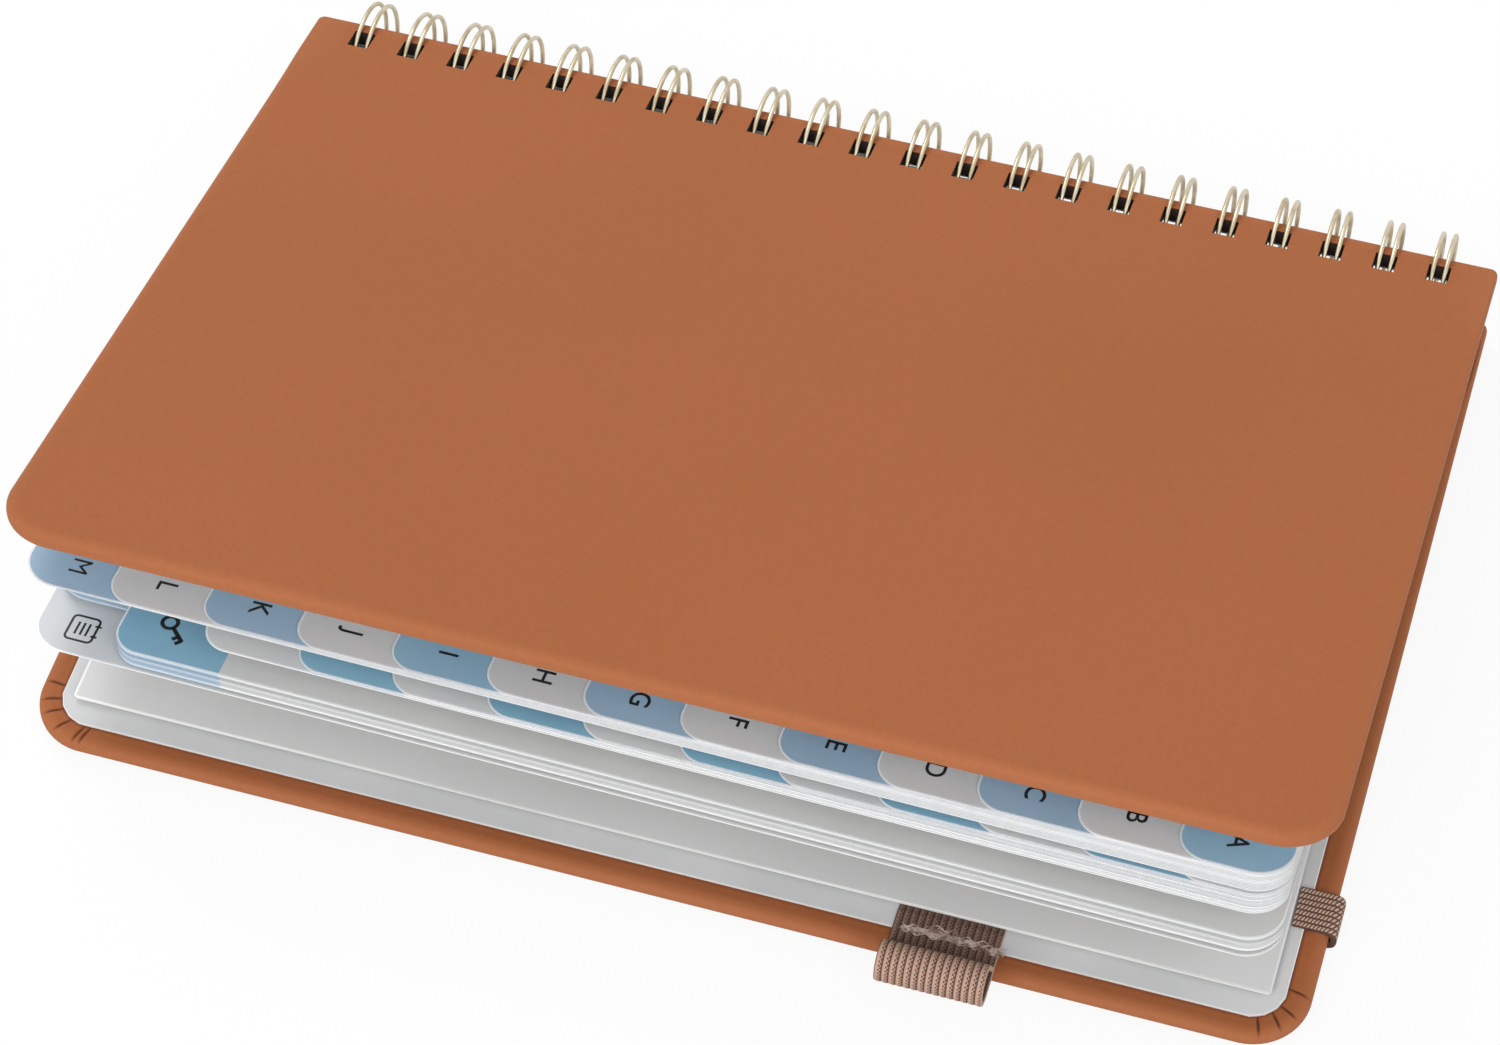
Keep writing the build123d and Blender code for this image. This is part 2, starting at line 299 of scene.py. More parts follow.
def ribbedProfile(ribs, pointsEach, thick, depth, power, width):
    # strap section, ribbed on both faces by abs(sin) ** power: rib counts and (across, above) points
    v = np.linspace(0, ribs, ribs * pointsEach + 1)
    above = thick / 2 + depth * (np.abs(np.sin(np.pi * v)) ** power - 1)
    face = np.stack([(v / ribs - 0.5) * width, above], 1)
    return np.concatenate([v, v[::-1]]), np.concatenate([face, face[::-1] * [1, -1]])


class Bench:
    # gathers the points, faces and flat coordinates of one piece
    def __init__(self):
        self.points = []
        self.flats = []
        self.faces = []
        self.tags = []
        self.count = 0

    def put(self, points, groups, flat=None):
        # each group is faces and the number of their paint
        for faces, tag in groups:
            rows = faces.tolist() if isinstance(faces, np.ndarray) else faces
            self.faces += [[self.count + v for v in face] for face in rows]
            self.tags += [tag] * len(rows)
        self.points.append(points)
        self.flats.append(points[:, :2] if flat is None else flat)
        self.count += len(points)

    def putStrap(self, grid, along, ribs):
        # closed strap whose flat coordinates run along it and count ribs across it
        flat = np.stack(np.broadcast_arrays(along[:, None], ribs[None]), 2)
        self.put(grid.reshape(-1, 3), tubeGroups(*grid.shape[:2]), flat.reshape(-1, 2))

    def putSheet(self, loop, holes, levels, band, tags=(1, 1, 0), triangles=None, origin=(0, 0)):
        # flat slab: wall round the outline, a band inside its edge on both faces, filled faces, hole walls;
        # tags number the paints of walls, bands and faces, and flat coordinates count from the origin
        wallTag, bandTag, faceTag = tags
        inner = loop - outward(loop) * band
        if triangles is None:
            triangles = fillFlat([inner] + holes)
        lay = np.concatenate([loop, inner] + holes)
        n, up = len(loop), len(lay)
        points = np.concatenate([np.column_stack([lay, np.full(up, level)]) for level in levels])
        i = np.arange(n)
        j = (i + 1) % n
        wall = np.stack([i, j, j + up, i + up], 1)
        bandTop = np.stack([i, j, j + n, i + n], 1) + up
        bandLow = np.stack([j, i, i + n, j + n], 1)
        groups = [(wall, wallTag), (bandTop, bandTag), (bandLow, bandTag)]
        groups += [(triangles + n + up, faceTag), (triangles[:, ::-1] + n, faceTag)]
        groups.append((holeWalls(holes, 2 * n, up), wallTag))
        self.put(points, groups, points[:, :2] - origin)

    def spots(self):
        return np.concatenate(self.points)


def makePiece(name, bench, paints, body, replaced=(), points=None, marks=None, crisp=40, flip=False):
    # mesh of a bench's points, with its flat coordinates as a UV map and its marks as attributes;
    # edges sharper than crisp degrees stay sharp
    spots = bench.spots() if points is None else points
    faces = [face[::-1] for face in bench.faces] if flip else bench.faces
    mesh = bpy.data.meshes.new(name)
    mesh.from_pydata((spots * mm).tolist(), [], faces)
    for paint in paints:
        mesh.materials.append(paint)
    mesh.polygons.foreach_set("material_index", np.array(bench.tags, np.int32))
    corners = np.empty(len(mesh.loops), np.int32)
    mesh.loops.foreach_get("vertex_index", corners)
    flat = np.concatenate(bench.flats)
    mesh.uv_layers.new(name="flat").data.foreach_set("uv", flat[corners].astype(np.float32).ravel())
    for key, values in (marks or {}).items():
        mesh.attributes.new(key, "FLOAT", "POINT").data.foreach_set("value", values.astype(np.float32))
    mesh.polygons.foreach_set("use_smooth", np.ones(len(mesh.polygons), bool))
    mesh.set_sharp_from_angle(angle=np.radians(crisp))
    mesh.update()
    piece = bpy.data.objects.new(name, mesh)
    bpy.context.scene.collection.objects.link(piece)
    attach(piece, body)
    if replaced:
        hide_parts(*replaced)
    return piece


def dress(node, paint):
    # gives a CAD node that stays in sight its finish
    nodes[node].data.materials.clear()
    nodes[node].data.materials.append(paint)


# Binding holes, shared by covers and leaves
binding = {
    "loops": 22, "pitch": 8.4667, "holeHalf": 1.8,
    "coverHole": (3.734, 7.95),  # from the wire's line to the hole's two ends
    "leafHole": 4.1,             # depth of a leaf's hole
    "clearance": 0.2,            # between the ring and the hole's end
}
backLow, backHigh = flatBox("back_leather")
frontHigh = flatBox("front_leather", coverTilt)[1]
coverHalf, foreY, spineY = backHigh[0], backLow[1], backHigh[1]
coverThick = backHigh[2] - backLow[2]
holeXs = (np.arange(binding["loops"]) - (binding["loops"] - 1) / 2) * binding["pitch"]


def holeLoops(y0, y1, half):
    # one anticlockwise rectangle for each binding hole
    shape = np.array([[-half, y0], [half, y0], [half, y1], [-half, y1]])
    return [shape + [x, 0] for x in holeXs]


def coverHoles(shrink=0.0):
    # the covers' holes, drawn in by a margin
    near, far = axisY - binding["coverHole"][1], axisY - binding["coverHole"][0]
    return holeLoops(near + shrink, far - shrink, binding["holeHalf"] - shrink)


print("frame read, cover", round(2 * coverHalf, 1), "x", round(spineY - foreY, 1))

# Leather covers
cover = {
    "foreCorner": 9.0, "spineCorner": 1.3,
    "arcStep": 0.11, "runStep": 2.5, "fineRun": 3.0,  # spacing of the outline's points
    "edgeDepth": 2.2,            # how far in the rounded edge reaches
    "fullness": 2.6,             # exponent of the edge's superellipse
    "edgeRings": 10, "rimRings": 24, "rimCrowding": 1.5,
    "rimReach": 4.2, "rimDip": 0.3, "rimSlope": (1.6, 3.5),
    "spineSqueeze": 0.72,        # edge and rim are this much narrower along the spine
    "squeezeFrom": 24.0, "squeezeRun": 14.0,
    "holeShrink": 0.06,          # leather lines the holes
    # degrees about the corner's centre where each pleat starts at the lining and where it ends
    "tailPleats": ((-7, -4), (17.5, 19), (38, 36), (63, 59), (90, 83), (100.5, 90.5)),
    "headPleats": ((-9, 1), (25, 27), (42, 47), (67, 69.5)),
    "pleatReach": (5.2, 8.5), "pleatWidth": 0.2, "pleatDepth": 0.24,
    "pleatStart": (-0.8, 0.3), "pleatEnd": (1.15, 0.5),  # where it fades and how fast, in its lengths
    "boardTop": 2.42,            # the leather stays above the board
    "highlightReach": 1.1,            # painted highlight: paler leather round the edge, where it faces the light
    "contactFrom": 3.0, "contactRun": 0.6, "contactDepth": 0.6,  # painted contact shadow: a dark line where it meets the lining
    # the glow colour is a painted highlight round the edge
    "tan": ((160, 94, 55), (164, 97, 59)), "speck": (138, 78, 45), "glow": (192, 126, 88),
    "creaseShade": (72, 34, 21), "holeShade": ((28, 19, 15), (58, 40, 31)),
}


def leatherPaint():
    s = cover
    p = Paint("tanLeather")
    where = p.place()
    cloud = p.noise(where, 12.0, 2.0)
    speck = p.noise(where, 1500.0, 3.0)
    grain = p.cells(where, 1900.0)
    tone = p.mix(p.ramp(cloud, 0.3, 0.7), *s["tan"])
    tone = p.mix(p.ramp(speck, 0.35, 0.75) * 0.18, tone, s["speck"])
    # painted highlight: paler round the edge, by the rim mark
    tone = p.mix(p.mark("rim") * 0.2, tone, s["glow"])
    # painted shade: dark in the pleats' creases and in a contact shadow along the lining
    tone = p.mix(p.mark("creaseShade") * 0.9, tone, s["creaseShade"])
    height = grain * 0.7 + speck * 0.5 - p.mark("creaseShade")
    return p.surface({
        "Base Color": tone, "Roughness": 0.56 + speck * 0.12,
        "Normal": p.bump(height, 0.3, 0.05), "Specular IOR Level": 0.16,
    })


# painted shade: the leather walls of the binding holes are painted nearly black, as they lie in shade
def holeShadePaint():
    p = Paint("holeShadeWall")
    fibre = p.noise(p.place(), 1600.0, 3.0)
    return p.surface({
        "Base Color": p.mix(fibre, *cover["holeShade"]), "Roughness": 0.8 + fibre * 0.1,
        "Normal": p.bump(fibre, 0.3, 0.05),
    })


def edgeSection():
    # insets and heights of the rings round a cover: half a superellipse from the outer face over the
    # edge, carried on as a rim that slopes down to the lining
    s = cover
    depth, half, power = s["edgeDepth"], coverThick / 2, s["fullness"]
    turn = np.linspace(0, np.pi / 2, s["edgeRings"], endpoint=False)
    rim = s["rimReach"] * np.linspace(0, 1, s["rimRings"]) ** s["rimCrowding"]
    rise = half * (1 - (1 - np.minimum(rim, depth) / depth) ** power) ** (1 / power)
    slope = smooth((rim - s["rimSlope"][0]) / (s["rimSlope"][1] - s["rimSlope"][0]))
    inset = np.concatenate([depth * (1 - np.sin(turn) ** (2 / power)), rim])
    height = np.concatenate([half * (1 - np.cos(turn) ** (2 / power)), half + rise - s["rimDip"] * slope])
    return inset[:, None], height[:, None]


def pleatGrooves(flat):
    # 0 to 1 at each plan point: a bell across every pleat's line, fading at the line's ends
    s = cover
    groove = np.zeros(flat.shape[:2])
    for side, pleats in ((-1, s["tailPleats"]), (1, s["headPleats"])):
        dx = flat[..., 0] * side - (coverHalf - s["foreCorner"])
        dy = foreY + s["foreCorner"] - flat[..., 1]
        for first, last in np.radians(pleats):
            x0, y0 = s["pleatReach"][0] * np.array([np.cos(first), np.sin(first)])
            x1, y1 = s["pleatReach"][1] * np.array([np.cos(last), np.sin(last)])
            long = np.hypot(x1 - x0, y1 - y0)
            along = ((dx - x0) * (x1 - x0) + (dy - y0) * (y1 - y0)) / long**2
            across = ((dx - x0) * (y1 - y0) - (dy - y0) * (x1 - x0)) / long
            fade = smooth((along - s["pleatStart"][0]) / s["pleatStart"][1])
            fade *= smooth((s["pleatEnd"][0] - along) / s["pleatEnd"][1])
            groove = np.maximum(groove, np.exp(-(across / s["pleatWidth"]) ** 2) * fade)
    return groove


def coverLeather(name, paints, body, place, flip):
    # closed shell: rings from the outer face round the edge to the rim's inner end, flat faces inside
    # the first and last ring, and walls in the binding holes
    s = cover
    corners = [(-coverHalf, foreY, s["foreCorner"]), (coverHalf, foreY, s["foreCorner"]),
               (coverHalf, spineY, s["spineCorner"]), (-coverHalf, spineY, s["spineCorner"])]
    loop = roundLoop(corners, s["arcStep"], s["runStep"], s["fineRun"])
    inset, height = edgeSection()
    onRim = (np.arange(len(inset)) >= s["edgeRings"])[:, None]
    squeeze = 1 - s["spineSqueeze"] * smooth((loop[:, 1] - spineY + s["squeezeFrom"]) / s["squeezeRun"])
    drawn = inset * squeeze
    flat = loop - outward(loop) * drawn[..., None]
    groove = pleatGrooves(flat) * onRim
    lift = height - s["pleatDepth"] * groove
    lift = np.where(onRim, np.maximum(lift, np.minimum(height, s["boardTop"])), lift)
    rings = np.concatenate([flat, lift[..., None]], 2).reshape(-1, 3)
    holes = coverHoles(s["holeShrink"])
    lay = np.concatenate(holes)
    wells = [np.column_stack([lay, np.full(len(lay), level)]) for level in (0.0, height[-1, 0])]
    count, shift = len(loop), len(rings)
    outer = fillFlat([flat[0]] + holes)
    outer = np.where(outer < count, outer, outer - count + shift)[:, ::-1]
    inner = fillFlat([flat[-1]] + holes)
    inner = np.where(inner < count, inner + shift - count, inner - count + shift + len(lay))
    walls = holeWalls(holes, shift, len(lay))
    bench = Bench()
    bench.put(np.concatenate([rings] + wells),
              [(ringQuads(len(inset), count), 0), (outer, 0), (inner, 0), (walls, 1)])
    # painted contact shadow along the lining, joined with the painted shade in the pleat creases
    contactShadow = s["contactDepth"] * smooth((inset - s["contactFrom"]) / s["contactRun"]) * onRim
    # the rim mark carries the painted highlight round the edge
    marks = {"rim": np.exp(-(drawn / s["highlightReach"]) ** 2), "creaseShade": np.maximum(groove, contactShadow)}
    marks = {key: np.append(values.ravel(), np.zeros(2 * len(lay))) for key, values in marks.items()}
    return makePiece(name, bench, paints, body, [name.replace("Leather", "_leather")],
                     place(bench.spots()), marks, crisp=50, flip=flip)


def onBack(points):
    # cover coordinates with the outer face down, as the back cover lies
    return points + [0, 0, backLow[2]]


def onFront(points):
    # the same turned over and opened with the front cover
    flipped = points * [1, 1, -1] + [0, 0, frontHigh[2]]
    return turned(flipped, coverTilt)


leathers = [leatherPaint(), holeShadePaint()]
coverLeather("backLeather", leathers, "back_cover", onBack, False)
coverLeather("frontLeather", leathers, "front_cover", onFront, True)
print("leather covers")

# Lining paper on the inside of each cover, and the boards
lining = {
    "border": 3.7, "spineBorder": 1.4, "cornerBorder": 3.6, "facets": 3, "sunk": 0.5, "edgeBand": 0.16,
    # the cut colours are a painted highlight, a lit copy of the paper for its edges
    "paper": ((200, 201, 202), (207, 208, 208)), "cut": ((226, 226, 225), (246, 246, 245)),
    "board": ((112, 104, 96), (150, 142, 132)),
}


def liningPaint():
    p = Paint("liningPaper")
    where = p.place()
    cloud = p.noise(where, 60.0, 4.0)
    fibre = p.noise(where, 2600.0, 2.0)
    return p.surface({
        "Base Color": p.mix(p.ramp(cloud, 0.35, 0.7), *lining["paper"]), "Roughness": 0.62 + fibre * 0.16,
        "Normal": p.bump(fibre + cloud, 0.12, 0.04), "Specular IOR Level": 0.3,
    })


# painted highlight: cut edges and a thin band beside them take a whiter copy of the paper than its faces, as lit
# from the front
def litPaperEdgePaint():
    p = Paint("litPaperEdge")
    layers = p.noise(p.place(), 900.0, 2.0, (0.02, 0.02, 5.0))
    return p.surface({
        "Base Color": p.mix(p.ramp(layers, 0.35, 0.65), *lining["cut"]), "Roughness": 0.7 + layers * 0.1,
        "Normal": p.bump(layers, 0.2, 0.02),
    })


def boardPaint():
    p = Paint("greyBoard")
    fibre = p.noise(p.place(), 1200.0, 4.0)
    return p.surface({
        "Base Color": p.mix(fibre, *lining["board"]), "Roughness": 0.85, "Normal": p.bump(fibre, 0.4, 0.08),
    })


def coverLining(name, paints, body, place, flip):
    # flat sheet whose fore-edge corners are cut in short facets along the cover's round
    s = lining
    half, far = coverHalf - s["border"], spineY - s["spineBorder"]
    reach = cover["foreCorner"] - s["cornerBorder"]
    first = np.arccos((cover["foreCorner"] - s["border"]) / reach)
    t = np.linspace(np.pi / 2 - first, first, s["facets"] + 1)
    corner = np.stack([coverHalf - cover["foreCorner"] + reach * np.cos(t),
                       foreY + cover["foreCorner"] - reach * np.sin(t)], 1)
    loop = np.concatenate([corner, [[half, far], [-half, far]], (corner * [-1, 1])[::-1]])
    bench = Bench()
    # its cut edge and a thin band round it take the painted highlight
    bench.putSheet(loop, coverHoles(), (coverThick - s["sunk"], coverThick), s["edgeBand"])
    return makePiece(name, bench, paints, body, [name.replace("Lining", "_lining")],
                     place(bench.spots()), flip=flip)


litPaperEdge = litPaperEdgePaint()
linings = [liningPaint(), litPaperEdge]
coverLining("backLining", linings, "back_cover", onBack, False)
coverLining("frontLining", linings, "front_cover", onFront, True)
board = boardPaint()
for node in ("back_board", "front_board"):
    dress(node, board)
print("linings and boards")

# Index leaves and page packs
leaf = {
    "places": 13, "firstTab": 16.1, "tabPitch": 14.4,
    "tabDepth": 9.5, "tabCorner": 4.3, "leafCorner": 5.7, "stepCorner": 1.2, "spineCorner": 1.3,
    "arcStep": 0.35, "runStep": 12.0,  # spacing of the outline's points
    "skew": 0.7,                     # degrees that the leaves lie askew on the wire
    "band": 0.28, "pageBand": 0.7,   # clear edge of a laminated tab, and a pale band round plain pages in the edge paint, a painted highlight
    "tabSheets": 2, "packSheets": 4, "notesSheets": 3, "sheetGap": 0.012,
    "unevenness": 0.28,              # sheets in a section differ by up to this much
    "capHeight": 2.9, "boldness": 0.01, "inkRise": 0.006, "inkThick": 0.006,
    "letterSpot": (8.1, 5.0),        # from the tab's tail end and from its edge
    "secondSpot": (8.1, 8.2), "keySpot": (8.1, 6.0), "notesSpot": (7.1, 5.0),
    "colourDepth": 12.0, "colourOverlap": 2.9,
    "rulePitch": 7.0, "ruleHalf": 0.09, "ruleSpan": (18.0, 114.0),
    "keyPlace": 12, "skyTabs": "ai",
    "paleBlue": ((152, 180, 204), (158, 186, 209)), "skyBlue": ((143, 181, 206), (150, 187, 211)),
    "deepBlue": ((130, 174, 197), (138, 182, 205)), "softGrey": ((206, 207, 208), (212, 212, 212)),
    "card": ((206, 206, 205), (210, 210, 209)), "rule": (142, 158, 172),
    "laminate": ((232, 234, 236), (246, 247, 248)), "ink": ((10, 11, 14), (26, 27, 30)),
    # the edge colours are painted highlights, paler copies of the card and tab tints
    "litCutEdge": ((206, 207, 208), (250, 250, 250)), "blueEdge": (176, 206, 230), "greyEdge": (236, 236, 238),
}
firstRound = "abcdefghijklm"
secondRound = list("nopqrstuvw") + ["xyz"]


def tabPaint(name, tints):
    # tinted tab beside plain card with faint ruled lines; u counts from the tab's head end, v from its edge
    s = leaf
    p = Paint(name)
    where = p.place()
    u, v = p.flat()
    past, deep = s["colourOverlap"], s["colourDepth"]
    onTab = (1 - p.ramp(u, past - 0.05, past + 0.05)) * (1 - p.ramp(v, deep - 0.1, deep + 0.1))
    ruled = abs(u % s["rulePitch"] - s["rulePitch"] / 2) < s["ruleHalf"]
    ruled = ruled * (v > s["ruleSpan"][0]) * (v < s["ruleSpan"][1])
    cloud = p.noise(where, 35.0, 3.0)
    fibre = p.noise(where, 2400.0, 2.0)
    card = p.mix(p.ramp(cloud, 0.35, 0.65), *s["card"])
    card = p.mix(ruled * 0.55, card, s["rule"])
    colour = p.mix(p.ramp(cloud, 0.3, 0.7), *tints)
    return p.surface({
        "Base Color": p.mix(onTab, card, colour), "Roughness": 0.62 - onTab * 0.2 + fibre * 0.08,
        "Normal": p.bump(fibre, 0.08, 0.02), "Specular IOR Level": 0.35,
    })


def laminatePaint():
    p = Paint("laminateEdge")
    film = p.noise(p.place(), 700.0, 2.0)
    return p.surface({
        "Base Color": p.mix(film, *leaf["laminate"]), "Roughness": 0.22 + film * 0.1, "Coat Weight": 0.3,
    })


def edgePaint(name, tint):
    # cut edges of the sheets, tinted where the laminated tab is: a painted highlight, paler than the faces of the
    # same card and tints, as lit from the front
    s = leaf
    p = Paint(name)
    fibre = p.noise(p.place(), 900.0, 2.0)
    plain = p.ramp(p.flat()[0], s["colourOverlap"], s["colourOverlap"] + 0.1)
    tone = p.mix((1 - plain) * 0.6, p.mix(p.mark("sheet"), *s["litCutEdge"]), tint)
    return p.surface({"Base Color": tone, "Roughness": 0.66 + fibre * 0.1})


def inkPaint():
    p = Paint("printedInk")
    film = p.noise(p.place(), 1500.0, 2.0)
    return p.surface({"Base Color": p.mix(film, *leaf["ink"]), "Roughness": 0.35 + film * 0.15})


def letterShape(text):
    # points and faces of a letter as a closed print one unit thick
    curve = bpy.data.curves.new("letter", "FONT")
    curve.body = text
    curve.align_x = "CENTER"
    curve.offset = 0.0 if text == "M" else leaf["boldness"]  # a bolder M would close up
    curve.extrude = 0.5
    holder = bpy.data.objects.new("letter", curve)
    mesh = bpy.data.meshes.new_from_object(holder)
    points = np.empty(len(mesh.vertices) * 3)
    mesh.vertices.foreach_get("co", points)
    faces = [list(face.vertices) for face in mesh.polygons]
    bpy.data.objects.remove(holder)
    bpy.data.curves.remove(curve)
    bpy.data.meshes.remove(mesh)
    return points.reshape(-1, 3), faces


capTop = letterShape("H")[0][:, 1].max()


def letterSign(text):
    # a letter scaled to the cap height and centred
    points, faces = letterShape(text)
    flat = points[:, :2] * leaf["capHeight"] / capTop
    flat[:, 0] -= (flat[:, 0].min() + flat[:, 0].max()) / 2
    flat[:, 1] -= leaf["capHeight"] / 2
    return [(np.column_stack([flat, points[:, 2]]), faces)]


def strokeShape(path, width, closed=False):
    # flat stroke of even width along a path, as a closed print one unit thick
    way = np.roll(path, -1, 0) - np.roll(path, 1, 0)
    if not closed:
        way[0], way[-1] = path[1] - path[0], path[-1] - path[-2]
    way = unit(way)
    edge = np.stack([-way[:, 1], way[:, 0]], 1) * width / 2
    n = len(path)
    corners = [np.column_stack([path + sign * edge, np.full(n, level)]) for sign, level in
               ((1, 0.5), (1, -0.5), (-1, -0.5), (-1, 0.5))]
    i = np.arange(n if closed else n - 1)
    j = (i + 1) % n
    sides = [(k * n, (k + 1) % 4 * n) for k in range(4)]
    faces = np.concatenate([np.stack([a + i, a + j, b + j, b + i], 1) for a, b in sides]).tolist()
    if not closed:
        faces += [[0, n, 2 * n, 3 * n], [4 * n - 1, 3 * n - 1, 2 * n - 1, n - 1]]
    return np.concatenate(corners), faces


keyShape = {"ring": 1.15, "ringPoints": 32, "ringStroke": 0.62, "stroke": 0.66,
            "stem": (-0.4, 1.9), "teeth": (1.05, 1.75), "tooth": 0.75}
notesShape = {"page": (2.3, 2.1), "corner": 0.7, "arcStep": 0.15, "runStep": 1.0, "pageStroke": 0.38,
              "stroke": 0.36, "lineHalf": 1.2, "lineGap": 0.85, "tickAt": 1.0, "tick": (1.6, 2.6)}


def keySign():
    # a ring, a slanted stem and two teeth
    s = keyShape
    turn = np.linspace(0, fullTurn, s["ringPoints"], endpoint=False)
    ring = s["ring"] * (np.stack([np.cos(turn), np.sin(turn)], 1) - 1)
    lines = [np.outer(s["stem"], [1, 1])]
    lines += [np.array([[a, a], [a + s["tooth"], a - s["tooth"]]]) for a in s["teeth"]]
    return [strokeShape(ring, s["ringStroke"], True)] + [strokeShape(line, s["stroke"]) for line in lines]


def notesSign():
    # a rounded page outline with three lines of writing and two binder ticks
    s = notesShape
    page = boxLoop(-np.array(s["page"]), s["page"], s["corner"], s["arcStep"], s["runStep"])
    lines = [np.array([[-s["lineHalf"], y], [s["lineHalf"], y]])
             for y in (-s["lineGap"], 0.0, s["lineGap"])]
    lines += [np.array([[x, s["tick"][0]], [x, s["tick"][1]]]) for x in (-s["tickAt"], s["tickAt"])]
    return [strokeShape(page, s["pageStroke"], True)] + [strokeShape(line, s["stroke"]) for line in lines]


def tabEnd(place, half):
    # x where the tab on a place ends towards the tail; place 0 is the leaf's head end
    if place == 0:
        return half
    if place == leaf["places"]:
        return -half
    return half - leaf["firstTab"] - (place - 1) * leaf["tabPitch"]


def leafLoop(place, half, near, far):
    # outline of one section: full width up to its tab, cut back beyond it
    s = leaf
    corners = [(half, far, s["spineCorner"]), (-half, far, s["spineCorner"])]
    if place < s["places"]:
        step, back = tabEnd(place, half), near + s["tabDepth"]
        corners += [(-half, back, s["leafCorner"]), (step, back, s["stepCorner"]),
                    (step, near, s["tabCorner"])]
    else:
        corners.append((-half, near, s["leafCorner"]))
    return roundLoop(corners + [(half, near, s["leafCorner"])], s["arcStep"], s["runStep"])


def leafHoles(low, high):
    # holes whose ends clear the ring, a circle that touches the table, at the section's widest level
    below, above = low - axisZ, high - axisZ
    nearest = 0.0 if below < 0 < above else min(abs(below), abs(above))
    start = axisY - np.sqrt(axisZ**2 - nearest**2) - binding["clearance"]
    return holeLoops(start, start + binding["leafHole"], binding["holeHalf"])


def leafPiece(node, place, sheets, paints, slot, signs, spot=leaf["letterSpot"]):
    # sheets of one section stacked inside its CAD thickness, with its sign printed on both sides of the tab
    s = leaf
    onFace, onBand, onCut, onSign = range(4)  # the order of the paints
    tilt = tiltOf(node)
    low, high = flatBox(node, tilt, s["skew"])
    half, near = high[0], low[1]
    loop = leafLoop(place, half, near, high[1])
    holes = leafHoles(low[2], high[2])
    origin = np.array([tabEnd(place - 1, half), near])
    rim = s["band"] if signs else s["pageBand"]
    triangles = fillFlat([loop - outward(loop) * rim] + holes)
    heights = np.linspace(low[2], high[2], sheets + 1)
    bench = Bench()
    tones = []
    for k in range(sheets):
        top = k == sheets - 1
        inset = 0.0 if top else s["unevenness"] * chance.random()
        levels = heights[k], heights[k + 1] - s["sheetGap"] * (not top)
        tags = onCut, onBand if top and signs else onCut, onFace
        bench.putSheet(loop - outward(loop) * inset, holes, levels, rim, tags, triangles, origin)
        tones.append(np.full(len(bench.points[-1]), chance.random()))
    x, y = tabEnd(place, half) + spot[0], near + spot[1]
    for level, side in ((high[2] + s["inkRise"], 1), (low[2] - s["inkRise"], -1)):
        for points, faces in signs:
            # the sign's up is +X and it reads towards the fore-edge; the back is turned over
            spots = np.column_stack([x + points[:, 1], y - side * points[:, 0],
                                     level + side * s["inkThick"] * points[:, 2]])
            bench.put(spots, [(faces, onSign)], spots[:, :2] - origin)
            tones.append(np.zeros(len(spots)))
    spots = turned(skewed(bench.spots(), -s["skew"]), tilt)
    return makePiece(node.replace("_", "") + "Sheets", bench, paints, bodyOf[node], [node], spots,
                     {"sheet": np.concatenate(tones)}, crisp=30)


paleBlue = tabPaint("tabPaleBlue", leaf["paleBlue"])
skyBlue = tabPaint("tabSkyBlue", leaf["skyBlue"])
deepBlue = tabPaint("tabDeepBlue", leaf["deepBlue"])
softGrey = tabPaint("tabGrey", leaf["softGrey"])
laminate = laminatePaint()
blueEdge = edgePaint("blueTabEdge", leaf["blueEdge"])
greyEdge = edgePaint("greyTabEdge", leaf["greyEdge"])
ink = inkPaint()
greyPaints = [softGrey, laminate, greyEdge, ink]


def letterSection(letter, place, blue, spot):
    # one lettered section, on a tab of the given blue or, without one, on a grey tab
    paints = [blue, laminate, blueEdge, ink] if blue else greyPaints
    slot = "tab_blue" if blue else "tab_grey"
    leafPiece("leaf_" + letter, place, leaf["tabSheets"], paints, slot, letterSign(letter.upper()), spot)


for place, letter in enumerate(firstRound, 1):
    tint = skyBlue if letter in leaf["skyTabs"] else paleBlue
    letterSection(letter, place, tint if place % 2 == 1 else None, leaf["letterSpot"])
for place, letter in enumerate(secondRound, 1):
    letterSection(letter, place, deepBlue if place % 2 == 0 else None, leaf["secondSpot"])
keyPack = leaf["keyPlace"], leaf["packSheets"], [deepBlue, laminate, blueEdge, ink]
leafPiece("leaf_key", *keyPack, "tab_blue", keySign(), leaf["keySpot"])
leafPiece("pages_upper", *keyPack, "paper", [])
leafPiece("pages_lower", *keyPack, "paper", [])
leafPiece("leaf_notes", leaf["places"], leaf["notesSheets"], greyPaints, "tab_grey", notesSign(),
          leaf["notesSpot"])
print("index leaves")

# Pocket inside the back cover
pocket = {"corner": 0.6, "arcStep": 0.2, "runStep": 6.0, "foldBand": 0.3,
          "card": ((210, 210, 210), (214, 214, 214))}
pocketTilt = tiltOf("pocket_panel")
pocketLow, pocketHigh = flatBox("pocket_panel", pocketTilt, line=foldLine)


def pocketCardPaint():
    p = Paint("pocketCard")
    where = p.place()
    cloud = p.noise(where, 28.0, 3.0)
    fibre = p.noise(where, 2200.0, 2.0)
    return p.surface({
        "Base Color": p.mix(p.ramp(cloud, 0.3, 0.7), *pocket["card"]), "Roughness": 0.5 + fibre * 0.12,
        "Normal": p.bump(fibre, 0.1, 0.03), "Specular IOR Level": 0.35,
    })


def pocketPiece():
    # card panel with a pale folded edge all round: its edge and a band beside it are a painted highlight, in the
    # lit paper-edge paint
    s = pocket
    loop = boxLoop(pocketLow, pocketHigh, s["corner"], s["arcStep"], s["runStep"])
    bench = Bench()
    bench.putSheet(loop, [], (pocketLow[2], pocketHigh[2]), s["foldBand"])
    return makePiece("pocketPanel", bench, [pocketCard, litPaperEdge], "pocket", ["pocket_panel"],
                     turned(bench.spots(), pocketTilt, foldLine))


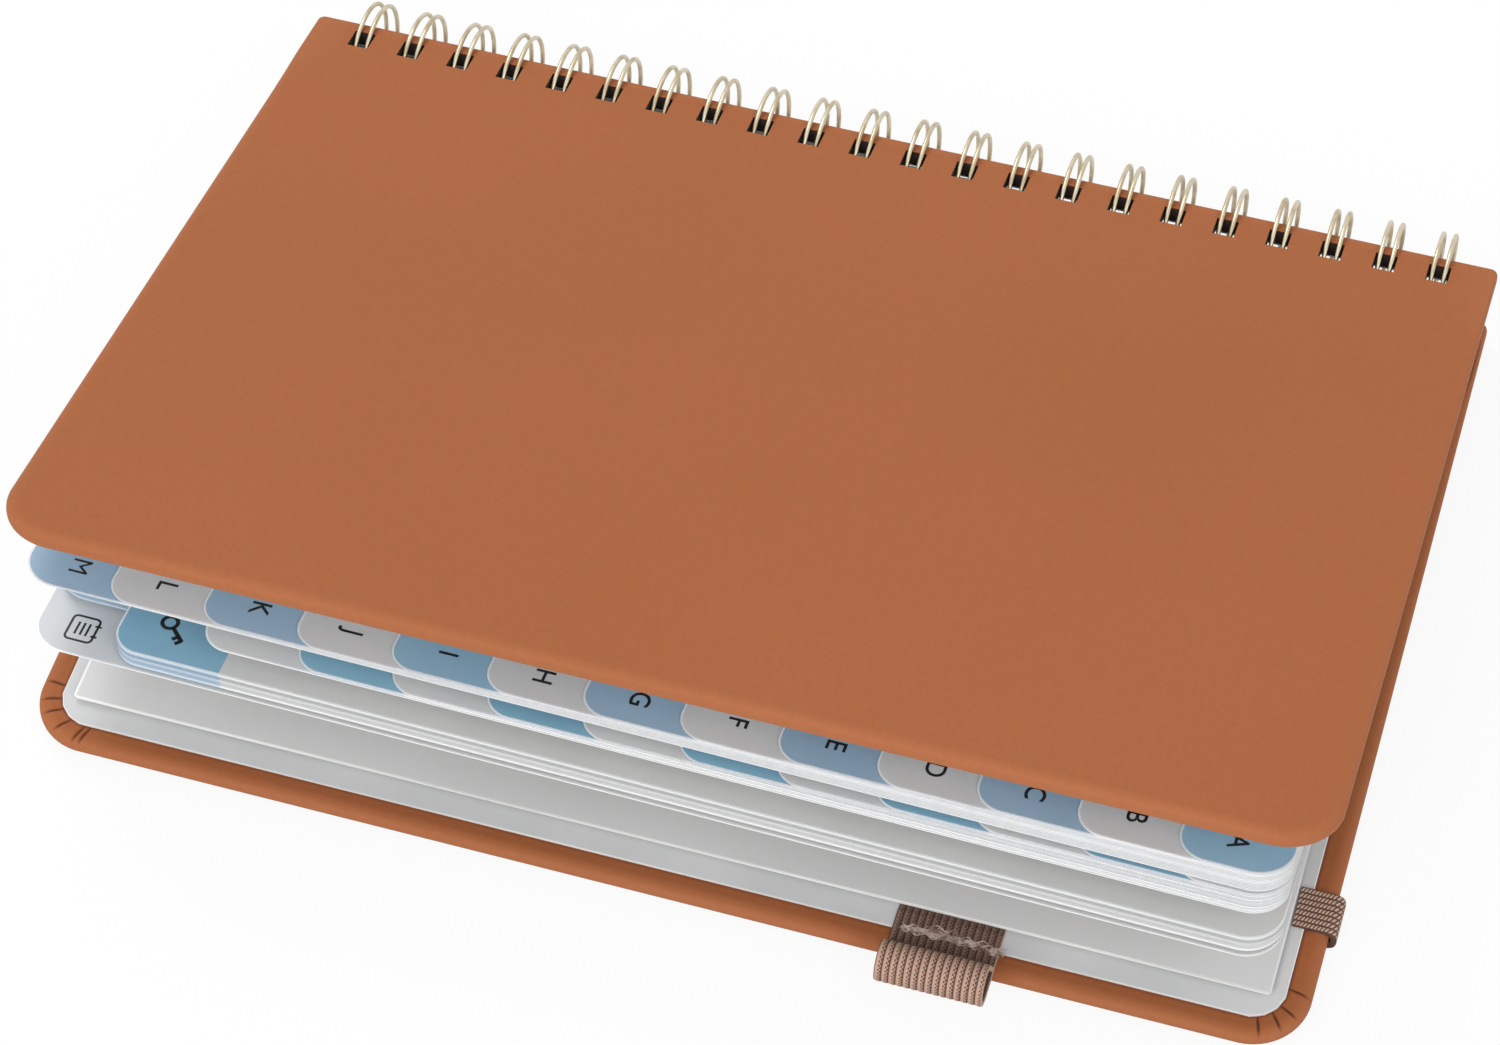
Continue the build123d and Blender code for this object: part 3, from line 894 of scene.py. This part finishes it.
pocketCard = pocketCardPaint()
pocketPiece()
for node in ("pocket_gusset_left", "pocket_gusset_right", "pocket_glue_strip"):
    dress(node, pocketCard)
print("pocket")

# Twin-loop wire
wire = {
    "radius": 0.37, "spacing": 1.95, "rootBend": 1.0,
    "root": -76.0, "tip": 255.0,  # degrees round the ring where a loop starts and where its tip is
    "sides": 10, "ringStep": 0.88, "tipPoints": 9, "bendPoints": 6, "bridgePoints": 5,
    "brass": ((212, 200, 174), (181, 164, 134)),
}


def brassPaint():
    p = Paint("antiqueBrass")
    where = p.place()
    patina = p.noise(where, 260.0, 4.0)
    scratch = p.noise(where, 3000.0, 2.0)
    return p.surface({
        "Base Color": p.mix(p.ramp(patina, 0.35, 0.75), *wire["brass"]), "Metallic": 1.0,
        "Roughness": 0.26 + patina * 0.18, "Normal": p.bump(scratch, 0.1, 0.01),
    })


def wirePiece():
    # one unbroken tube: a ring up, a half-round tip, the ring back, then a bridge to the next pair of loops
    s = wire
    radius = axisZ - s["radius"]
    half, bend, pitch = s["spacing"] / 2, s["rootBend"], binding["pitch"]

    def ring(angle, x):
        t = np.radians(np.atleast_1d(angle))
        return np.stack([np.full(len(t), x), axisY - radius * np.cos(t), axisZ + radius * np.sin(t)], 1)

    def ahead(angle):
        t = np.radians(angle)
        return np.array([0, np.sin(t), np.cos(t)])

    around = np.arange(s["root"], s["tip"], np.degrees(s["ringStep"] / radius))
    turn = np.linspace(0, np.pi, s["tipPoints"])[:, None]
    tip = ring(s["tip"], 0.0) + ahead(s["tip"]) * half * np.sin(turn) - [half, 0, 0] * np.cos(turn)
    quarter = np.linspace(0, np.pi / 2, s["bendPoints"])[1:, None]
    leave = ring(s["root"], half) + [bend, 0, 0] * (1 - np.cos(quarter))
    leave -= ahead(s["root"]) * bend * np.sin(quarter)
    run = np.linspace(0, pitch - s["spacing"] - 2 * bend, s["bridgePoints"])[1:, None]
    rise = leave[::-1] * [-1, 1, 1] + [pitch, 0, 0]
    bridge = np.concatenate([leave, leave[-1] + [1.0, 0, 0] * run, rise[1:]])
    pair = np.concatenate([ring(around, -half), tip, ring(around[::-1], half), bridge])
    path = np.concatenate([pair + [x, 0, 0] for x in holeXs])[:-len(bridge)]
    way = unit(np.gradient(path, axis=0))
    out = (path - [0, axisY, axisZ]) * [0, 1, 1]
    out = unit(out - way * (out * way).sum(1)[:, None])
    t = np.linspace(0, fullTurn, s["sides"], endpoint=False)
    tube = sweep(path, np.cross(way, out), out, s["radius"] * np.stack([np.sin(t), np.cos(t)], 1))
    bench = Bench()
    bench.put(tube.reshape(-1, 3), tubeGroups(*tube.shape[:2]))
    return makePiece("bindingWire", bench, [brassPaint()], "back_cover", ["binding_wire"], crisp=70)


wirePiece()
print("binding wire")

# Elastic closure band
band = {
    "rows": 7, "rowPoints": 6, "ridge": 0.11, "bend": 1.15, "bendPoints": 9, "thick": 0.95, "step": 0.35,
    "tuck": 5.5,                 # how far over the cover's inside the ends reach
    "stitchPitch": 1.9, "yarn": ((66, 44, 37), (204, 168, 146)), "fuzz": (206, 178, 162),
}


def elasticPaint():
    # rows of slanted stitches; u runs along the strap, v counts rows across it
    s = band
    p = Paint("wovenElastic")
    u, v = p.flat()
    row = v % 1.0 - 0.5
    slant = u * s["stitchPitch"] + row * 0.9
    stitch = p.ramp((slant * fullTurn).sine(), -0.9, 0.2)
    weave = stitch * (1 - p.ramp(abs(row), 0.26, 0.44))
    fuzz = p.noise(p.place(), 3500.0, 2.0)
    tone = p.mix(fuzz * 0.16, p.mix(weave, *s["yarn"]), s["fuzz"])
    return p.surface({
        "Base Color": tone, "Roughness": 0.8 + fuzz * 0.1, "Normal": p.bump(weave + fuzz * 0.3, 0.6, 0.12),
        "Specular IOR Level": 0.2,
    })


def bandPiece():
    # strap carried round the back cover: tucked in at both ends, over the edges and flat underneath
    s = band
    low, high = flatBox("elastic_band")
    thick = s["thick"] / 2
    inner, x = coverHalf - s["tuck"], high[0] - thick
    top, under = high[2] - thick, low[2] + thick
    c = np.array([(-inner, top), (-x, top), (-x, under), (x, under), (x, top), (inner, top)])
    t = np.linspace(0, np.pi / 2, s["bendPoints"])[:, None]
    start, end = 1 - np.sin(t), 1 - np.cos(t)
    bends = [spot + s["bend"] * (unit(before - spot) * start + unit(after - spot) * end)
             for before, spot, after in zip(c, c[1:], c[2:])]
    along, path, way = evenPath(np.concatenate([c[:1]] + bends + [c[-1:]]), s["step"])
    spine = np.stack([path[:, 0], np.full(len(path), (low[1] + high[1]) / 2), path[:, 1]], 1)
    up = np.stack([way[:, 1], np.zeros(len(path)), -way[:, 0]], 1)
    rows, profile = ribbedProfile(s["rows"], s["rowPoints"], s["thick"], s["ridge"], 1.0, high[1] - low[1])
    bench = Bench()
    bench.putStrap(sweep(spine, [0, 1.0, 0], up, profile), along, rows)
    return makePiece("elasticBand", bench, [elasticPaint()], "back_cover", ["elastic_band"],
                     crisp=60)


bandPiece()
print("elastic band")

# Pen loop
penLoop = {
    "ribs": 15, "ribPoints": 8, "ribDepth": 0.13, "ribRound": 0.6, "thick": 0.86, "step": 0.22,
    "webbing": 0.9, "halfY": 3.0, "halfZ": 3.5,  # CAD thickness and half sizes of the oval
    "ovalPoints": 80, "easePoints": 24, "tailPoints": 80,
    "sewn": 0.7,                 # the loop's end is sewn to the tail this far inside the fore-edge
    "leave": 55.0,               # degrees past the crest where it turns down to the tail
    "leavePull": 4.0, "sewnPull": 2.0,           # how far it keeps its direction at either end
    "dip": 0.26, "dipLead": 1.0, "dipRun": 0.8,  # the tail sinks before it passes under the pocket
    "relief": 0.07,              # its ribs are pressed flat there, this far below the closed pocket
    "shadeFrom": 1.8, "shadeRun": 1.4,           # painted shade from this far outside the fore-edge
    "stitchPitch": 1.7, "yarn": ((62, 41, 35), (189, 153, 134)), "stitch": (66, 42, 36),
    "fuzz": (206, 178, 160), "shade": (58, 38, 34), "paleEdge": (206, 174, 154),
}


def webbingPaint():
    # smooth ribs with a stitched column in each; u runs along the strap, v counts ribs across it
    s = penLoop
    p = Paint("ribbedWebbing")
    u, v = p.flat()
    rib = v % 1.0
    ridge = 1 - p.ramp(abs(rib - 0.5), 0.31, 0.47)
    column = p.ramp(rib, 0.46, 0.54) * (1 - p.ramp(rib, 0.9, 0.98))
    stitch = p.ramp(((u * s["stitchPitch"] + (rib > 0.72) * 0.5) * fullTurn).sine(), -0.5, 0.2)
    fuzz = p.noise(p.place(), 3200.0, 3.0)
    tone = p.mix(ridge, *s["yarn"])
    tone = p.mix(column * (1 - stitch), tone, s["stitch"])
    tone = p.mix(fuzz * 0.2, tone, s["fuzz"])
    # painted shade over the tail, the loop's inside and its slope back to the stitching
    tone = p.mix(p.mark("tail") * 0.62, tone, s["shade"])
    # paler along the strap's last rib on one side
    tone = p.mix(p.ramp(v, s["ribs"] - 0.16, s["ribs"] - 0.06) * 0.8, tone, s["paleEdge"])
    return p.surface({
        "Base Color": tone, "Roughness": 0.82 + fuzz * 0.1, "Specular IOR Level": 0.2,
        "Normal": p.bump(ridge + stitch * column * 0.6 + fuzz * 0.2, 0.6, 0.12),
    })


def penLoopPath(low, high, dipY):
    # y and z of the strap's middle: a tail from under the pocket out past the fore-edge, an open oval
    # from below, and an eased cubic from its crest back to the end that is sewn down on the tail
    s = penLoop
    centre = np.array([low[1] + s["halfY"], high[2] - s["halfZ"]])
    a, b = s["halfY"] - s["webbing"] / 2, s["halfZ"] - s["webbing"] / 2
    tailZ = centre[1] - b
    y = np.linspace(high[1], centre[0], s["tailPoints"])
    tail = np.stack([y, tailZ - s["dip"] * smooth((y - dipY) / s["dipRun"])], 1)
    turn = np.radians(np.linspace(-90, -90 - 180 - s["leave"], s["ovalPoints"]))
    oval = centre + np.stack([a * np.cos(turn), b * np.sin(turn)], 1)
    heading = s["leavePull"] * unit(np.array([a * np.sin(turn[-1]), -b * np.cos(turn[-1])]))
    sewn = np.array([foreY + s["sewn"], tailZ + s["webbing"]])
    t = np.linspace(0, 1, s["easePoints"])[:, None]
    ease = ((2 * t**3 - 3 * t**2 + 1) * oval[-1] + (t**3 - 2 * t**2 + t) * heading
            + (3 * t**2 - 2 * t**3) * sewn + (t**3 - t**2) * np.array([s["sewnPull"], 0]))
    return np.concatenate([tail[:-1], oval, ease[1:]]), tailZ


def penLoopPiece():
    # ribbed strap carried along the loop's path, its ribs pressed flat where the closed pocket lies on it
    s = penLoop
    low, high = flatBox("pen_loop")
    dipY = pocketLow[1] - s["dipLead"]
    rough, tailZ = penLoopPath(low, high, dipY)
    along, path, way = evenPath(rough, s["step"])
    spine = np.column_stack([np.full(len(path), (low[0] + high[0]) / 2), path])
    up = np.stack([np.zeros(len(path)), way[:, 1], -way[:, 0]], 1)
    ribs, profile = ribbedProfile(s["ribs"], s["ribPoints"], s["thick"], s["ribDepth"], s["ribRound"],
                                  high[0] - low[0])
    grid = sweep(spine, [1.0, 0, 0], up, profile)
    sunk = smooth((grid[..., 1] - dipY) / s["dipRun"])
    crown = tailZ + s["thick"] / 2
    press = crown + (pocketLow[2] - s["relief"] - crown) * sunk
    grid[..., 2] = np.where(sunk > 0, np.minimum(grid[..., 2], press), grid[..., 2])
    shade = smooth((grid[..., 1] - foreY + s["shadeFrom"]) / s["shadeRun"])
    shade[:, :len(ribs) // 2] = 1.0  # painted shade on the tail's top and the inside of the loop
    bench = Bench()
    bench.putStrap(grid, along, ribs)
    return makePiece("penLoop", bench, [webbingPaint()], "back_cover", ["pen_loop"],
                     marks={"tail": shade.ravel()}, crisp=60, flip=True)


penLoopPiece()
print("pen loop")

# Frayed threads left across the pen loop's tail
fray = {
    "strands": 46, "tuft": 16, "points": 28, "sides": 6, "thickness": (0.06, 0.13), "flatness": 0.3,
    "margins": (0.6, 5.0, 0.2),  # strands start inside the first two and stop at the last
    "line": 3.9, "scatter": 0.32,  # they lie about this far inside the fore-edge
    "length": (2.0, 6.5), "waves": (2.0, 6.0), "phase": 6.3, "sway": 0.28, "swayRate": 3,
    "lift": 0.04, "ripple": 0.012, "rippleRate": 2.1, "ripplePhase": 1.7,
    "thinEnd": 0.35, "clip": (0.02, 0.98),
    "tuftStart": 1.4, "tuftLength": (1.2, 2.6), "tuftLine": 3.5, "tuftScatter": 0.25, "tuftCurl": 0.9,
    "tuftDrop": (0.05, 0.25), "dropRun": 0.8,
    "thread": ((126, 96, 84), (214, 196, 186)),
}


def threadPaint():
    p = Paint("frayedThread")
    fuzz = p.noise(p.place(), 900.0, 3.0)
    tone = p.mix(p.ramp(fuzz, 0.3, 0.7), *fray["thread"])
    return p.surface({"Base Color": tone, "Roughness": 0.7 + fuzz * 0.15})


def frayPiece():
    # flattened strands wandering across the strap, with a short curled tuft at its head end
    s = fray
    low, high = flatBox("pen_loop")
    top = coverThick + backLow[2] + penLoop["thick"] / 2 + s["lift"]
    column = (s["strands"], 1)
    t = np.linspace(0, 1, s["points"])[None]
    starts = chance.uniform(low[0] + s["margins"][0], high[0] - s["margins"][1], column)
    lengths = chance.uniform(*s["length"], column)
    waves = chance.uniform(*s["waves"], column)
    phase = chance.uniform(0, s["phase"], column)
    x = np.minimum(starts + lengths * t, high[0] - s["margins"][2])
    y = foreY + s["line"] + chance.normal(0, s["scatter"], column)
    y = y + s["sway"] * np.sin(waves * t * s["swayRate"] + phase)
    z = top + s["ripple"] * np.sin(waves * t * s["rippleRate"] + phase * s["ripplePhase"])
    column = (s["tuft"], 1)
    curl = s["tuftCurl"] * chance.uniform(-1.0, 1.0, column)
    tuftX = high[0] - s["tuftStart"] + chance.uniform(*s["tuftLength"], column) * t
    tuftY = foreY + s["tuftLine"] + chance.normal(0, s["tuftScatter"], column) - curl * t**2
    tuftZ = top - chance.uniform(*s["tuftDrop"], column) * smooth((tuftX - high[0]) / s["dropRun"])
    path = np.concatenate([np.stack([x, y, z], 2), np.stack([tuftX, tuftY, tuftZ], 2)])
    way = unit(np.gradient(path, axis=1))
    side = unit(np.cross(way, [0, 0, 1.0]))
    up = np.cross(side, way)
    thickness = chance.uniform(*s["thickness"], (len(path), 1, 1, 1))
    swell = np.sin(np.pi * np.clip(t, *s["clip"]))
    taper = (s["thinEnd"] + (1 - s["thinEnd"]) * swell)[..., None, None]
    around = np.linspace(0, fullTurn, s["sides"], endpoint=False)[:, None]
    ring = up[:, :, None] * np.cos(around) * s["flatness"] + side[:, :, None] * np.sin(around)
    tube = path[:, :, None] + ring * thickness * taper
    bench = Bench()
    groups = tubeGroups(s["points"], s["sides"])
    for strand in tube.reshape(len(path), -1, 3):
        bench.put(strand, groups)
    return makePiece("frayedThreads", bench, [threadPaint()], "back_cover", crisp=80)


frayPiece()
print("frayed threads")

# Floor, light and camera
studio = {
    "floorHalf": 3.0, "floorTone": ((238, 238, 238), (242, 242, 242)), "floorGlow": 0.9, "world": 0.6,
    "whiteRays": ("Is Camera Ray", "Is Glossy Ray", "Is Transmission Ray"),  # these see a white background
    "lamps": [  # place, aim and size in metres, then power in watts
        ((-0.35, -1.25, 1.05), (0.0, -0.05, 0.02), 0.9, 10.4),
        ((0.95, -0.75, 1.15), (0.0, 0.0, 0.02), 0.8, 5.6),
        ((-0.55, 0.60, 1.00), (-0.02, 0.05, 0.02), 0.6, 5.6),
    ],
}
white = (1, 1, 1, 1)


def floorPaint():
    # diffuse floor that glows nearly white for the rays that show the background
    p = Paint("paleFloor")
    straight, mirrored, through = (p.node("LightPath", output=ray) for ray in studio["whiteRays"])
    seen = straight.math("MAXIMUM", mirrored).math("MAXIMUM", through)
    tone = p.mix(p.noise(p.place(), 3.0, 2.0), *studio["floorTone"])
    shade = p.node("BsdfDiffuse", {}, {"Color": tone})
    glow = p.node("Emission", {}, {"Color": white, "Strength": 1.0})
    mixed = p.node("MixShader", {}, {0: seen * studio["floorGlow"], 1: shade, 2: glow})
    p.tree.links.new(mixed.socket, p.end.inputs[0])
    return p.material


def buildFloor():
    half = studio["floorHalf"]
    corners = [(-half, -half, 0), (half, -half, 0), (half, half, 0), (-half, half, 0)]
    mesh = bpy.data.meshes.new("floor")
    mesh.from_pydata(corners, [], [(0, 1, 2, 3)])
    mesh.materials.append(floorPaint())
    floor = bpy.data.objects.new("floor", mesh)
    bpy.context.scene.collection.objects.link(floor)


def buildLight():
    # plain white world, brighter for the rays that show the background, and three softboxes
    world = bpy.data.worlds.new("studio")
    bpy.context.scene.world = world
    world.use_nodes = True
    tree = world.node_tree
    back = tree.nodes["Background"]
    path = tree.nodes.new("ShaderNodeLightPath")
    level = tree.nodes.new("ShaderNodeValue").outputs[0]
    level.default_value = studio["world"]
    for ray in studio["whiteRays"]:
        bright = tree.nodes.new("ShaderNodeMath")
        bright.operation = "MAXIMUM"
        tree.links.new(path.outputs[ray], bright.inputs[0])
        tree.links.new(level, bright.inputs[1])
        level = bright.outputs[0]
    tree.links.new(level, back.inputs["Strength"])
    back.inputs["Color"].default_value = white
    for k, (place, aim, size, power) in enumerate(studio["lamps"]):
        lamp = bpy.data.lights.new("softbox%d" % k, "AREA")
        lamp.size = size
        lamp.energy = power
        holder = bpy.data.objects.new(lamp.name, lamp)
        holder.location = place
        holder.rotation_euler = (Vector(aim) - Vector(place)).to_track_quat("-Z", "Y").to_euler()
        bpy.context.scene.collection.objects.link(holder)


# The photograph's view: degrees, metres, millimetres of lens and sensor
lens = {"azimuth": 19.033, "elevation": 55.673, "roll": -2.710, "distance": 0.79738,
        "target": (-0.02224, 0.05161, -0.07992), "focal": 108.495, "sensor": 36.0, "nearest": 0.01}


def buildCamera():
    # looks along back at the target from the given distance, rolled about its own line of sight
    turn, rise, roll = np.radians([lens["azimuth"], lens["elevation"], lens["roll"]])
    back = np.array([np.sin(turn) * np.cos(rise), -np.cos(turn) * np.cos(rise), np.sin(rise)])
    right = np.array([np.cos(turn), np.sin(turn), 0])
    up = np.cross(back, right)
    across = right * np.cos(roll) + up * np.sin(roll)
    upright = up * np.cos(roll) - right * np.sin(roll)
    spot = np.array(lens["target"]) + back * lens["distance"]
    camera = bpy.data.cameras.new("photoCamera")
    camera.lens = lens["focal"]
    camera.sensor_width = lens["sensor"]
    camera.sensor_fit = "HORIZONTAL"
    camera.clip_start = lens["nearest"]
    holder = bpy.data.objects.new("photoCamera", camera)
    rows = np.column_stack([across, upright, back, spot])
    holder.matrix_world = Matrix(np.vstack([rows, [0, 0, 0, 1]]).tolist())
    bpy.context.scene.collection.objects.link(holder)
    bpy.context.scene.camera = holder


buildFloor()
buildLight()
buildCamera()
bpy.context.scene.view_settings.view_transform = "Standard"
print("studio and camera")
